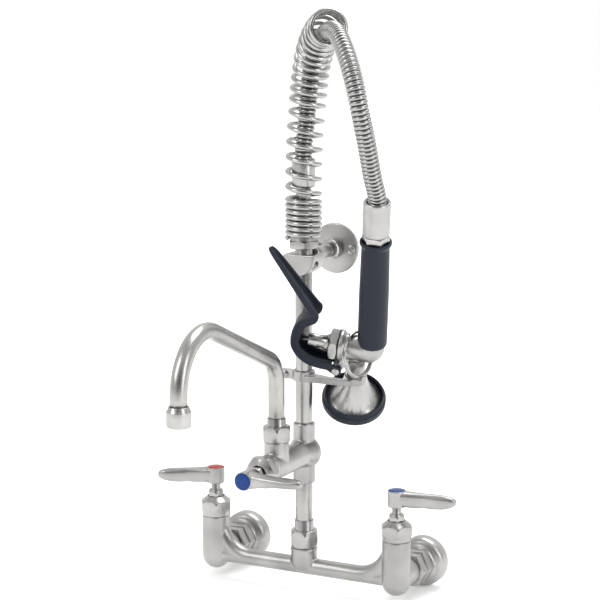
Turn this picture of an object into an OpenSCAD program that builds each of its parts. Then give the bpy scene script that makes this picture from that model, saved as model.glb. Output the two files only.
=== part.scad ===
// Wall-mounted pre-rinse faucet: a mixing body with two lever valves, a riser with an
// add-on swing faucet, a sprung flexible hose and a squeeze valve hung by a wire ring.
// The origin lies on the wall, midway between the two water inlets. +X is the cold side,
// +Y points into the wall and +Z is up. All lengths are in millimetres.

/* [Wall and inlets] */
// Distance from the wall to the axes of the columns and the riser
wall_offset = 72; // [70:0.5:76]
// Distance between the two inlets
inlet_spacing = 203.2; // [198:0.1:208]
// Radius of the round boss at the back of each column
inlet_boss_r = 13.6; // [12.5:0.1:13.8]
// Length of that boss from the column's axis
inlet_boss_length = 28; // [26:0.5:30]
// Corner radius of the union nut
union_nut_r = 18; // [17:0.1:18.5]
// Corner radius of the hexagon on the flanged tail
tail_hex_r = 19; // [18:0.1:19.5]
// Radius of the flange against the wall
wall_flange_r = 25.4; // [23:0.1:28]
// Radius of the threaded hole for the half inch supply pipe
supply_hole_r = 9.3; // [8.8:0.1:10]

/* [Mixing body] */
// Outer radius of each column
column_r = 14.3; // [13.8:0.1:15]
// Height of the seam between a column and its bonnet nut
column_top = 39.3; // [37:0.1:42]
// Radius of the arms between the columns and the centre boss
arm_r = 8.5; // [7.5:0.1:9]
// Height of the arms' axis
arm_z = -1; // [-2:0.1:0]
// Radius of the bend that sweeps each arm up into its column
arm_bend_r = 36.5; // [33:0.5:37]
// Radius of the centre boss
boss_r = 13.2; // [12.6:0.1:14]
// Height of the centre boss
boss_top = 18.9; // [17:0.1:21]

/* [Lever valves] */
// Corner radius of the domed bonnet nut
bonnet_nut_r = 16.8; // [16:0.1:18]
// Height of the domed bonnet nut
bonnet_nut_h = 20.1; // [19:0.1:22]
// Radius of the valve spindle
spindle_r = 4.6; // [4:0.1:5]
// Height of the lever's underside above the seam
hub_bottom = 33.7; // [32:0.1:36]
// Radius of the lever's hub
hub_r = 9; // [8.6:0.1:10]
// Height of the lever's hub
hub_h = 16.8; // [15.5:0.1:18]
// Length of the lever from the spindle's axis to its tip
lever_length = 58.5; // [52:0.5:66]
// Direction of the hot lever, turned from +X
hot_lever_angle = 205; // [195:1:210]
// Direction of the cold lever, turned from +X
cold_lever_angle = 11; // [0:1:20]
// Direction of the add-on faucet's lever, raised from +X
addon_lever_angle = 1.5; // [0:0.5:5]

/* [Riser] */
// Outer radius of the riser pipe
riser_r = 8.55; // [8.2:0.05:8.8]
// Wall of the riser pipe
riser_wall = 2.2; // [1.5:0.1:2.8]
// Corner radius of the nut at the foot of the riser
base_nut_r = 15; // [14.4:0.1:16]
// Height of that nut
base_nut_h = 18; // [16:0.5:20]
// Height of the collar above that nut
collar_h = 10; // [8:0.5:12]
// Height of the top of the riser, where the spring's seat begins
riser_top = 322.4; // [318:0.2:328]

/* [Add-on faucet] */
// Height of the branch axis
branch_z = 116.5; // [114:0.5:119]
// Radius of the branch
branch_r = 13; // [12.6:0.1:13.4]
// Distance from the riser's axis to the seam of the add-on valve
branch_length = 77.4; // [76:0.2:80]
// Outer radius of the sleeve on the riser
sleeve_r = 11; // [10.6:0.1:11.6]
// Length of the sleeve below and above the branch axis
sleeve_reach = 30.6; // [28:0.2:32]
// Distance from the riser's axis to the nozzle's axis
nozzle_offset = 58.7; // [57:0.1:60]
// Radius of the nozzle's boss
nozzle_boss_r = 12.15; // [11.8:0.05:12.4]
// Height of the nozzle's boss above the branch axis
nozzle_boss_h = 24; // [22:0.5:26]

/* [Swing nozzle] */
// Reach of the nozzle from its axis to its outlet
nozzle_reach = 203.2; // [190:0.1:216]
// Outer radius of the nozzle's tube
nozzle_r = 7.94; // [7.6:0.02:8.1]
// Wall of the nozzle's tube
nozzle_wall = 1.2; // [0.9:0.1:1.6]
// Height where the upright stretch ends and the first bend begins
nozzle_bend_z = 198; // [190:0.5:206]
// Slope of the long stretch
nozzle_slope = 21.8; // [18:0.1:24]
// Radius of the bend at the foot
nozzle_foot_bend = 30; // [27:0.5:33]
// Radius of the bend above the outlet
nozzle_end_bend = 51; // [46:0.5:54]
// Length of the upright stretch above the outlet cup
nozzle_drop = 6.4; // [4:0.2:10]
// Radius of the outlet cup
outlet_r = 11.1; // [10.6:0.1:12]
// Height of the outlet cup
outlet_h = 18.6; // [17:0.2:21]
// Angle of the nozzle, turned from -Y towards +X
nozzle_angle = 3.1; // [0:0.1:8]

/* [Holders] */
// Height of the hook's underside
hook_z = 190; // [184:0.5:191]
// Thickness of the hook's plate
hook_h = 6; // [5:0.1:6.4]
// Direction of the hook, turned from +X
hook_angle = -8.4; // [-10:0.2:-7]
// Height of the wall bracket's axis
bracket_z = 313; // [310:0.2:314]
// Radius of the bracket's tube
bracket_tube_r = 6.85; // [6.3:0.05:7]
// Radius of the bracket's clamp
bracket_clamp_r = 16.8; // [16:0.1:17.4]
// Radius of the bracket's wall flange
bracket_flange_r = 25.75; // [24:0.25:28]
// Distance between the two screws of the wall flange
bracket_screw_spacing = 38.1; // [36:0.1:40]

/* [Overhead spring] */
// Outer radius of the coils
coil_r = 18.25; // [17.6:0.05:18.6]
// Diameter of the spring's wire
wire_d = 4.5; // [4:0.1:4.8]
// Height of the hexagon that seats the spring
spring_nut_h = 7.9; // [7:0.1:8.5]
// Corner radius of that hexagon
spring_nut_r = 15.9; // [15:0.1:17]

/* [Hose] */
// Outer diameter of the flexible hose
hose_d = 17.5; // [16.5:0.1:17.7]
// Radius of the ferrule at the foot of the hose
ferrule_r = 11.5; // [11:0.1:12.5]
// Radius of the sleeve at the head of the hose
hose_sleeve_r = 12.9; // [12.2:0.1:13.4]

/* [Spray valve] */
// Radius of the grip
grip_r = 14.3; // [13.9:0.1:14.5]
// Length of the grip
grip_length = 116; // [114:0.5:117]
// Radius of the valve chamber
chamber_r = 12.4; // [12:0.1:12.6]
// Slant of the chamber above a right angle to the grip
chamber_tilt = 4; // [3:0.5:5]
// Corner radius of the bonnet's hexagon
bonnet_hex_r = 17; // [16.4:0.1:17.2]
// Radius of the valve's stem
stem_r = 3; // [2.6:0.1:3.2]
// Width of the squeeze lever across its channel
lever_width = 22; // [21:0.5:23]
// Thickness of the squeeze lever with its coating
lever_thick = 3; // [2.6:0.1:3.2]
// Mean radius of the hold-down ring
ring_r = 21.8; // [21.6:0.05:22]
// Radius of the ring's wire
ring_wire_r = 1.3; // [1.1:0.05:1.4]
// Radius of the spray bell's rim
bell_r = 28.5; // [27:0.1:29]
// Distance from the chamber to the bell's rim along its axis
bell_length = 78; // [76:0.5:80]
// Outer radius of the rubber bumper
bumper_r = 32; // [31.6:0.1:33]

/* [Hidden] */
$fn = 48;

// Colours
satin_steel = [0.72, 0.72, 0.70];
bright_steel = [0.80, 0.80, 0.79];
hose_steel = [0.66, 0.67, 0.67];
brass = [0.78, 0.66, 0.36];
navy_rubber = [0.13, 0.15, 0.20];
black_rubber = [0.07, 0.07, 0.08];
hot_red = [0.80, 0.20, 0.15];
cold_blue = [0.13, 0.33, 0.72];

// Clearances: parts of one body, running fits and threads that are drawn plain
seat_gap = 0.05;
run_gap = 0.06;
thread_gap = 0.2;
// How far a cut runs past the face it opens
over = 1;

body_y = -wall_offset;
column_x = inlet_spacing / 2;

// ---------------------------------------------------------------- shared helpers

// Points on an arc about a centre, from angle a0 to a1 in n steps
function arc(centre, r, a0, a1, n = 6) =
    [for (i = [0:n]) centre + r * [cos(a0 + (a1 - a0) * i / n), sin(a0 + (a1 - a0) * i / n)]];

function unit(v) = v / norm(v);

// Smooth curve through points: the place at step u between points 1 and 2 of four
function blend(p0, p1, p2, p3, u) =
    0.5 * (2 * p1 + (p2 - p0) * u + (2 * p0 - 5 * p1 + 4 * p2 - p3) * u * u
    + (3 * p1 - p0 - 3 * p2 + p3) * u * u * u);

// The same for a whole list, with n steps between neighbours
function smooth(points, n) = let (last = len(points) - 1)
    [for (i = [0:last - 1], k = [0:n - 1])
        blend(points[max(i - 1, 0)], points[i], points[i + 1], points[min(i + 2, last)], k / n),
     points[last]];

// Distance run along a list of points, one value a point
function run_lengths(points, i = 1, sum = 0, found = [0]) = i >= len(points) ? found :
    let (next = sum + norm(points[i] - points[i - 1]))
    run_lengths(points, i + 1, next, concat(found, [next]));

// The point at distance s along a list of points
function point_at(points, lengths, s) = [for (axis = [0:2])
    lookup(s, [for (i = [0:len(points) - 1]) [lengths[i], points[i][axis]]])];

// The direction at point i of a list
function heading(points, i) =
    unit(points[min(i + 1, len(points) - 1)] - points[max(i - 1, 0)]);

// A round section swept along a list of points; side is any vector off the path
module sweep(points, r, sides, side) {
    rings = [for (i = [0:len(points) - 1])
        let (t = heading(points, i), u = unit(cross(side, t)), v = cross(t, u))
        for (k = [0:sides - 1])
            points[i] + r * (cos(360 * k / sides) * u + sin(360 * k / sides) * v)];
    last = (len(points) - 1) * sides;
    walls = [for (i = [0:len(points) - 2], k = [0:sides - 1])
        let (a = i * sides + k, b = i * sides + (k + 1) % sides)
        each [[a, a + sides, b], [b, a + sides, b + sides]]];
    ends = [[for (k = [0:sides - 1]) k], [for (k = [sides - 1:-1:0]) last + k]];
    polyhedron(rings, concat(walls, ends), convexity = 10);
}

// Hexagon with its rims turned down; corner_r is its corner radius
module hexagon(corner_r, h, rim_drop = 1.5) {
    rim_r = corner_r * cos(30) - 0.4;
    intersection() {
        cylinder(h = h, r = corner_r, $fn = 6);
        rotate_extrude()
            polygon([[0, 0], [rim_r, 0], [corner_r + 0.1, rim_drop],
                [corner_r + 0.1, h - rim_drop], [rim_r, h], [0, h]]);
    }
}

// Hexagon nut whose two ends are rounded right over, open through the middle
module rounded_nut(corner_r, h, end_r) {
    intersection() {
        cylinder(h = h, r = corner_r, $fn = 6);
        rotate_extrude()
            polygon(concat([[0, 0]], [for (i = [0:8]) let (a = -90 + 180 * i / 8)
                [end_r + (corner_r + 0.1 - end_r) * cos(a), h / 2 + h / 2 * sin(a)]],
                [[0, h]]));
    }
}

module ring(outer_r, inner_r, h) {
    difference() {
        cylinder(h = h, r = outer_r);
        translate([0, 0, -over]) cylinder(h = h + 2 * over, r = inner_r);
    }
}

module tube(outer_r, inner_r, from_z, to_z) {
    translate([0, 0, from_z]) ring(outer_r, inner_r, to_z - from_z);
}

// Pan head screw along +Z with its head's underside at z = 0
module pan_screw(head_r, head_h, shank_r, shank_length) {
    slot_w = head_r * 0.28;
    difference() {
        union() {
            intersection() {
                cylinder(h = head_h, r = head_r);
                translate([0, 0, head_h - head_r * 1.6]) sphere(r = head_r * 1.6);
            }
            translate([0, 0, -shank_length]) cylinder(h = shank_length + 0.5, r = shank_r);
        }
        for (a = [0, 90])
            rotate([0, 0, a])
                translate([-head_r * 0.65, -slot_w / 2, head_h * 0.45])
                    cube([head_r * 1.3, slot_w, head_h]);
    }
}

// ---------------------------------------------------------------- places

module at_body() {
    translate([0, body_y, 0]) children();
}

module at_columns() {
    for (side = [-1, 1])
        translate([side * column_x, body_y, 0]) children();
}

module at_inlets() {
    at_columns() rotate([-90, 0, 0]) children();
}

module at_hot() {
    translate([-column_x, body_y, column_top]) children();
}

module at_cold() {
    translate([column_x, body_y, column_top]) children();
}

module at_addon() {
    translate([0, body_y - branch_length, branch_z]) rotate([90, 0, 0]) children();
}

// All three lever valves
module at_valves() {
    at_hot() children();
    at_cold() children();
    at_addon() children();
}

// ---------------------------------------------------------------- mixing body

neck_r = 11.2;
neck_h = 7;
chamber_bore_r = 9;
chamber_floor = 4;
waterway_r = 5;
arm_sink = 0.6;
arm_end_x = column_x - column_r + arm_r + arm_sink - arm_bend_r;
boss_neck_r = 11;
boss_neck_h = 8;
o_ring_z = boss_top + boss_neck_h - 2.4;
union_thread_r = 11.4;
union_thread_h = 7;

module arm_sweep() {
    translate([arm_end_x, 0, arm_z + arm_bend_r])
        rotate([90, 0, 0]) rotate([0, 0, -90])
            rotate_extrude(angle = 90) translate([arm_bend_r, 0]) circle(r = arm_r);
}

// The web that fills the corner below each arm's bend
module arm_web() {
    web_t = arm_r - 1.2;
    centre = [arm_end_x, arm_z + arm_bend_r];
    rotate([90, 0, 0]) translate([0, 0, -web_t])
        linear_extrude(2 * web_t)
            polygon(concat(arc(centre, arm_bend_r, -90, 0, 8),
                [[column_x, arm_z + arm_bend_r], [column_x, arm_z]]));
}

module column_solid() {
    cylinder(h = column_top, r = column_r);
    translate([0, 0, -3]) sphere(r = column_r);
    translate([0, 0, -3]) cylinder(h = 4, r = column_r);
    cylinder(h = column_top + neck_h, r = neck_r);
    rotate([-90, 0, 0]) cylinder(h = inlet_boss_length, r = inlet_boss_r);
    rotate([-90, 0, 0]) cylinder(h = inlet_boss_length + union_thread_h, r = union_thread_r);
}

module faucet_body() {
    color(satin_steel) at_body() difference() {
        union() {
            for (side = [-1, 1])
                translate([side * column_x, 0, 0]) column_solid();
            for (turn = [0, 180])
                rotate([0, 0, turn]) {
                    arm_sweep();
                    arm_web();
                }
            translate([-column_x, 0, arm_z]) rotate([0, 90, 0])
                cylinder(h = 2 * column_x, r = arm_r);
            translate([0, 0, 5]) sphere(r = boss_r);
            translate([0, 0, 5]) cylinder(h = boss_top - 5, r = boss_r);
            translate([0, 0, boss_top - 3]) cylinder(h = 3, r = boss_r + 0.5);
            cylinder(h = boss_top + boss_neck_h, r = boss_neck_r);
        }
        for (side = [-1, 1])
            translate([side * column_x, 0, 0]) {
                translate([0, 0, chamber_floor])
                    cylinder(h = column_top + neck_h, r = chamber_bore_r);
                rotate([-90, 0, 0])
                    cylinder(h = inlet_boss_length + union_thread_h + over, r = 7.5);
                translate([0, 0, -4]) cylinder(h = 10, r = 6);
            }
        translate([-column_x, 0, arm_z]) rotate([0, 90, 0])
            cylinder(h = 2 * column_x, r = waterway_r);
        cylinder(h = boss_top + boss_neck_h + over, r = 6);
        translate([0, 0, 12]) cylinder(h = boss_top, r = riser_r + 0.1);
        translate([0, 0, o_ring_z - 0.1]) cylinder(h = 20, r = riser_r + 2.4);
    }
}

module inlet_coupling_nuts() {
    start = inlet_boss_length + 0.3;
    color(satin_steel) at_inlets() translate([0, 0, start]) difference() {
        hexagon(union_nut_r, 11.7);
        translate([0, 0, -over]) cylinder(h = 9.8 + over, r = union_thread_r + thread_gap);
        cylinder(h = 20, r = 9);
    }
}

washer_h = 1.2;

module inlet_washers() {
    start = inlet_boss_length + union_thread_h + seat_gap;
    color(black_rubber) at_inlets() tube(11.2, 7, start, start + washer_h);
}

tail_start = inlet_boss_length + union_thread_h + washer_h + 2 * seat_gap;
tail_hex_start = inlet_boss_length + 12.2;
tail_flange_start = tail_hex_start + 12.8;

module inlet_flanges() {
    rim = wall_flange_r;
    color(satin_steel) at_inlets() difference() {
        union() {
            translate([0, 0, tail_start]) cylinder(h = 1.6, r = 11.2);
            translate([0, 0, tail_start]) cylinder(h = tail_hex_start - tail_start + 1, r = 8.8);
            translate([0, 0, tail_hex_start]) hexagon(tail_hex_r, 12.8);
            translate([0, 0, tail_flange_start]) rotate_extrude()
                polygon(concat([[0, -1], [rim - 9.5, -1], [rim - 8, 1]],
                    [for (a = [0:15:75]) [rim - 6.5 + 6.5 * sin(a), 11 - 9 * cos(a)]],
                    [[rim, 12], [rim, wall_offset - tail_flange_start - 1],
                     [rim - 1, wall_offset - tail_flange_start],
                     [0, wall_offset - tail_flange_start]]));
        }
        translate([0, 0, tail_start - over]) cylinder(h = wall_offset, r = 7);
        translate([0, 0, wall_offset - 20]) cylinder(h = 20 + over, r = supply_hole_r);
    }
}

// ---------------------------------------------------------------- lever valves

packing_start = 15.9;
packing_h = 10.8;

module cartridge() {
    color(brass) difference() {
        union() {
            translate([0, 0, -26]) cylinder(h = 26 + neck_h, r = chamber_bore_r - seat_gap);
            translate([0, 0, neck_h + seat_gap]) cylinder(h = 2.4, r = neck_r);
            cylinder(h = packing_start - seat_gap, r = 8);
        }
        translate([0, 0, -20]) cylinder(h = 60, r = spindle_r + run_gap);
        translate([0, 0, -14]) cylinder(h = 6.5, r = 6.4);
        translate([0, 0, -30]) cylinder(h = 12, r = 3.5);
    }
}

module bonnet_nut() {
    widest_z = 10.4;
    skirt = 0.3;
    color(satin_steel) difference() {
        intersection() {
            cylinder(h = bonnet_nut_h, r = bonnet_nut_r, $fn = 6);
            rotate_extrude()
                polygon(concat([[0, skirt], [column_r, skirt], [column_r, 2.6]],
                    [for (a = [-60:20:40]) [bonnet_nut_r - 3.6 + 3.7 * cos(a),
                        widest_z + 6.5 * sin(a)]],
                    [[9.7, bonnet_nut_h - 0.6], [9.2, bonnet_nut_h], [0, bonnet_nut_h]]));
        }
        translate([0, 0, -over])
            cylinder(h = neck_h + 2.5 + seat_gap + over, r = neck_r + thread_gap);
        cylinder(h = 40, r = 8.6);
    }
    // The skirt is round, below the flats of the hexagon
    color(satin_steel) tube(column_r, neck_r + thread_gap, skirt, 2.6);
}

module packing_nut() {
    color(bright_steel) translate([0, 0, packing_start]) difference() {
        intersection() {
            cylinder(h = packing_h, r = 8.4, $fn = 6);
            rotate_extrude()
                polygon([[0, 0], [8.5, 0], [8.5, packing_h - 4.2], [6.9, packing_h], [0, packing_h]]);
        }
        translate([0, 0, -over]) cylinder(h = packing_h + 2 * over, r = spindle_r + run_gap);
    }
}

module spindle() {
    top = hub_bottom + hub_h - 5.6;
    color(bright_steel) difference() {
        union() {
            translate([0, 0, -13.5]) cylinder(h = top + 13.5, r = spindle_r);
            translate([0, 0, -13.5]) cylinder(h = 5.5, r = 6.3);
        }
        translate([0, 0, top - 14]) cylinder(h = 20, r = 1.9);
    }
}

// Sections of the lever: distance out, half width, top and underside, as shares of its
// length, the hub's radius and the hub's height
lever_sections = [
    [0, 0.93, 0.97, 0.04], [0.15, 0.82, 0.96, 0.04], [0.27, 0.68, 0.93, 0.02],
    [0.42, 0.57, 0.91, 0.03], [0.58, 0.49, 0.90, 0.09], [0.76, 0.41, 0.88, 0.22],
    [0.90, 0.33, 0.81, 0.36], [0.97, 0.22, 0.73, 0.47], [1, 0.06, 0.64, 0.56]
];
lever_sides = 20;

// Rounded-square section point k of the lever at section s
function lever_point(s, k) =
    let (a = 360 * k / lever_sides, c = cos(a), d = sin(a), e = 0.62,
        mid = (s[2] + s[3]) / 2 * hub_h, half = (s[2] - s[3]) / 2 * hub_h)
    [s[0] * lever_length, s[1] * hub_r * sign(c) * pow(abs(c), e),
        mid + half * sign(d) * pow(abs(d), e)];

module lever_blade() {
    stations = smooth(lever_sections, 3);
    count = len(stations);
    points = [for (s = stations, k = [0:lever_sides - 1]) lever_point(s, k)];
    walls = [for (i = [0:count - 2], k = [0:lever_sides - 1])
        let (a = i * lever_sides + k, b = i * lever_sides + (k + 1) % lever_sides)
        each [[a, a + lever_sides, b], [b, a + lever_sides, b + lever_sides]]];
    last = (count - 1) * lever_sides;
    ends = [[for (k = [0:lever_sides - 1]) k],
        [for (k = [lever_sides - 1:-1:0]) last + k]];
    polyhedron(points, concat(walls, ends), convexity = 4);
}

// Solid of the lever's hub and blade before it is bored
module lever_solid() {
    rotate_extrude()
        polygon([[0, 0], [hub_r - 1, 0], [hub_r, 0.8], [hub_r, hub_h - 0.6],
            [hub_r - 0.6, hub_h], [0, hub_h]]);
    lever_blade();
}

button_r = 8.1;
button_seat = 2.4;

module lever(angle) {
    color(bright_steel) rotate([0, 0, angle]) translate([0, 0, hub_bottom]) difference() {
        lever_solid();
        translate([0, 0, -over])
            cylinder(h = hub_h - 5.5 + over, r = spindle_r + seat_gap);
        cylinder(h = hub_h, r = 2.2);
        translate([0, 0, hub_h - 5.5]) cylinder(h = 5, r = 4.2);
        translate([0, 0, hub_h - button_seat]) cylinder(h = 5, r = button_r + 0.1);
    }
}

// Coloured index with a low dome
module index_button(paint) {
    color(paint) translate([0, 0, hub_bottom + hub_h - button_seat + seat_gap])
        rotate_extrude()
            polygon([[0, 0], [button_r, 0], [button_r, button_seat - 0.1],
                [button_r * 0.85, button_seat + 0.25], [button_r * 0.5, button_seat + 0.55],
                [0, button_seat + 0.7]]);
}

// The screw that the index hides

module lever_screw() {
    color(bright_steel) translate([0, 0, hub_bottom + hub_h - 5.5 + seat_gap])
        pan_screw(3.6, 2.2, 1.85, 10);
}

module valve_cartridges() { at_valves() cartridge(); }
module bonnet_nuts() { at_valves() bonnet_nut(); }
module packing_nuts() { at_valves() packing_nut(); }
module hot_spindle() { at_hot() spindle(); }
module hot_lever() { at_hot() lever(hot_lever_angle); }
module hot_lever_screw() { at_hot() lever_screw(); }
module hot_index_button() { at_hot() index_button(hot_red); }
module cold_spindle() { at_cold() spindle(); }
module cold_lever() { at_cold() lever(cold_lever_angle); }
module cold_lever_screw() { at_cold() lever_screw(); }
module cold_index_button() { at_cold() index_button(cold_blue); }
module addon_spindle() { at_addon() spindle(); }
module addon_lever() { at_addon() lever(addon_lever_angle); }
module addon_lever_screw() { at_addon() lever_screw(); }
module addon_index_button() { at_addon() index_button(cold_blue); }

// ---------------------------------------------------------------- riser

base_nut_z = boss_top + 0.3;
base_nut_top = base_nut_z + base_nut_h;
collar_foot = boss_top + boss_neck_h + seat_gap;
sleeve_foot = branch_z - sleeve_reach;
sleeve_head = branch_z + sleeve_reach;
socket_depth = 18;
riser_bore_r = riser_r - riser_wall;

module riser_base_nut() {
    lip = 5.5;
    color(satin_steel) at_body() translate([0, 0, base_nut_z]) difference() {
        rounded_nut(base_nut_r, base_nut_h, 12);
        translate([0, 0, -over])
            cylinder(h = base_nut_h - lip + over, r = boss_neck_r + thread_gap);
        cylinder(h = 40, r = riser_r + 1.35);
    }
}

module riser_collar() {
    flange_h = base_nut_top - 5.5 - collar_foot - seat_gap;
    color(satin_steel) at_body() difference() {
        union() {
            translate([0, 0, collar_foot]) cylinder(h = flange_h, r = boss_neck_r);
            translate([0, 0, collar_foot])
                cylinder(h = base_nut_top + collar_h - collar_foot, r = riser_r + 1.15);
        }
        translate([0, 0, collar_foot - over]) cylinder(h = 60, r = riser_r + seat_gap);
    }
}

// Sits round the riser, between the boss and the collar
module riser_o_ring() {
    wire = 1.1;
    color(black_rubber) at_body() translate([0, 0, o_ring_z + wire])
        rotate_extrude() translate([riser_r + seat_gap + wire, 0]) circle(r = wire, $fn = 24);
}

module lower_riser() {
    color(satin_steel) at_body()
        tube(riser_r, riser_bore_r, 12.1, sleeve_foot + socket_depth - seat_gap);
}

module upper_riser() {
    color(satin_steel) at_body()
        tube(riser_r, riser_bore_r, sleeve_head - socket_depth + seat_gap, riser_top - seat_gap);
}

// ---------------------------------------------------------------- add-on faucet

nozzle_neck_r = 11.2;
nozzle_neck_h = 7.5;
nozzle_boss_top = branch_z + nozzle_boss_h;
o_ring_r = 0.95;
o_ring_seat = 2.4;

module addon_body() {
    color(satin_steel) at_body() difference() {
        union() {
            translate([0, 0, sleeve_foot]) cylinder(h = 2 * sleeve_reach, r = sleeve_r);
            translate([0, 0, branch_z]) rotate([90, 0, 0]) {
                cylinder(h = branch_length, r = branch_r);
                cylinder(h = branch_length + neck_h, r = neck_r);
                cylinder(h = 12, r1 = branch_r + 4, r2 = branch_r);
                translate([0, 0, -5]) cylinder(h = 5.1, r = branch_r + 4);
                translate([0, 0, branch_length - 4]) cylinder(h = 4, r = column_r);
            }
            translate([0, -nozzle_offset, branch_z]) {
                cylinder(h = nozzle_boss_h, r = nozzle_boss_r);
                cylinder(h = nozzle_boss_h + nozzle_neck_h, r = nozzle_neck_r);
            }
        }
        for (z = [sleeve_foot - over, sleeve_head - socket_depth])
            translate([0, 0, z]) cylinder(h = socket_depth + over, r = riser_r + seat_gap);
        translate([0, 0, sleeve_foot]) cylinder(h = 2 * sleeve_reach, r = riser_bore_r);
        translate([0, 0, branch_z]) rotate([90, 0, 0]) {
            cylinder(h = branch_length, r = waterway_r);
            translate([0, 0, branch_length - 35])
                cylinder(h = 35 + neck_h + over, r = chamber_bore_r);
        }
        translate([0, -nozzle_offset, branch_z]) {
            cylinder(h = nozzle_boss_h, r = waterway_r);
            translate([0, 0, nozzle_boss_h - 13])
                cylinder(h = 13 + nozzle_neck_h + over, r = nozzle_r + run_gap);
            translate([0, 0, nozzle_boss_h + nozzle_neck_h - o_ring_seat])
                cylinder(h = 10, r = nozzle_r + 2 * o_ring_r + 0.1);
        }
    }
}

module at_nozzle() {
    translate([0, body_y - nozzle_offset, 0]) children();
}

module nozzle_o_ring() {
    color(black_rubber) at_nozzle()
        translate([0, 0, nozzle_boss_top + nozzle_neck_h - o_ring_r - 0.2])
            rotate_extrude() translate([nozzle_r + run_gap + o_ring_r, 0]) circle(r = o_ring_r);
}

nozzle_nut_h = 15.5;
nozzle_lip = 5.2;
collar_tube_r = 9.1;

module nozzle_nut() {
    color(satin_steel) at_nozzle() translate([0, 0, nozzle_boss_top + 0.3]) difference() {
        rounded_nut(base_nut_r, nozzle_nut_h, 11.8);
        translate([0, 0, -over])
            cylinder(h = nozzle_nut_h - nozzle_lip + over, r = nozzle_neck_r + thread_gap);
        cylinder(h = 30, r = collar_tube_r + run_gap);
    }
}

module nozzle_collar() {
    foot = nozzle_boss_top + nozzle_neck_h + run_gap;
    flange_top = nozzle_boss_top + 0.3 + nozzle_nut_h - nozzle_lip - run_gap;
    head = nozzle_boss_top + nozzle_nut_h + 7.9;
    color(bright_steel) at_nozzle() difference() {
        union() {
            translate([0, 0, foot]) cylinder(h = flange_top - foot, r = 10.9);
            translate([0, 0, foot]) cylinder(h = head - foot, r = collar_tube_r);
        }
        translate([0, 0, foot - over]) cylinder(h = 60, r = nozzle_r + seat_gap);
    }
}

// The swing nozzle's centreline: up, a bend on to the slope, the slope and an arch down
nozzle_foot_z = nozzle_boss_top - 12.6;
slope_start_r = nozzle_foot_bend * (1 - sin(nozzle_slope));
slope_start_z = nozzle_bend_z + nozzle_foot_bend * cos(nozzle_slope);
slope_end_r = nozzle_reach - nozzle_end_bend * (1 + sin(nozzle_slope));
slope_length = (slope_end_r - slope_start_r) / cos(nozzle_slope);
slope_end_z = slope_start_z + slope_length * sin(nozzle_slope);
arch_z = slope_end_z - nozzle_end_bend * cos(nozzle_slope);
outlet_top = arch_z - nozzle_drop;

module at_nozzle_plane() {
    at_nozzle() rotate([0, 0, nozzle_angle - 90]) children();
}

// The straight stretches are a hair thinner than the bends and run a little into them
module nozzle_run(r) {
    line_r = r - 0.05;
    lap = 1;
    translate([0, 0, nozzle_foot_z]) cylinder(h = nozzle_bend_z - nozzle_foot_z + lap, r = line_r);
    translate([nozzle_foot_bend, 0, nozzle_bend_z]) rotate([90, 0, 0])
        rotate([0, 0, 90 + nozzle_slope])
            rotate_extrude(angle = 90 - nozzle_slope)
                translate([nozzle_foot_bend, 0]) circle(r = r);
    translate([slope_start_r, 0, slope_start_z]) rotate([0, 90 - nozzle_slope, 0])
        translate([0, 0, -lap]) cylinder(h = slope_length + 2 * lap, r = line_r);
    translate([nozzle_reach - nozzle_end_bend, 0, arch_z]) rotate([90, 0, 0])
        rotate_extrude(angle = 90 + nozzle_slope)
            translate([nozzle_end_bend, 0]) circle(r = r);
    translate([nozzle_reach, 0, outlet_top - 2]) cylinder(h = nozzle_drop + 2 + lap, r = line_r);
}

module swing_nozzle() {
    color(bright_steel) at_nozzle_plane() difference() {
        nozzle_run(nozzle_r);
        nozzle_run(nozzle_r - nozzle_wall);
        translate([0, 0, nozzle_foot_z - over])
            cylinder(h = 3, r = nozzle_r - nozzle_wall - 0.05);
        translate([nozzle_reach, 0, outlet_top - 2 - over])
            cylinder(h = 3, r = nozzle_r - nozzle_wall - 0.05);
    }
}

module nozzle_outlet() {
    lip = 1.2;
    color(bright_steel) at_nozzle_plane()
        translate([nozzle_reach, 0, outlet_top - outlet_h]) difference() {
            rotate_extrude()
                polygon([[0, 0], [outlet_r - lip, 0], [outlet_r, lip],
                    [outlet_r, outlet_h - 4.6], [outlet_r - 0.8, outlet_h - 3.4],
                    [nozzle_r + 1.2, outlet_h], [0, outlet_h]]);
            translate([0, 0, -over]) cylinder(h = 9 + over, r = outlet_r - 2.2);
            cylinder(h = 30, r = 5);
            translate([0, 0, outlet_h - 2 - seat_gap]) cylinder(h = 10, r = nozzle_r + seat_gap);
        }
}

// ---------------------------------------------------------------- hook and bracket

hook_band_h = 10;
hook_ear_x = -20.6;
clamp_bore_r = riser_r + seat_gap;

// Plan of the hook's arm: wide at the riser, narrow where the ring lies
module hook_plan() {
    polygon([[0, -9], [8, -8.6], [26, -5.2], [56, -2.6], [72, -2.4],
        [72, 2.4], [56, 2.6], [26, 4.6], [8, 8.6], [0, 9]]);
}

// Side of the hook's arm: a flat strip, a rising end and an upturned tip
module hook_side() {
    polygon([[0, 0], [53, 0], [57, 1], [72, 4], [73, 12.2], [70.6, 12.6], [69.4, 8.6],
        [60, 8.4], [56, hook_h], [0, hook_h]]);
}

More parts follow.
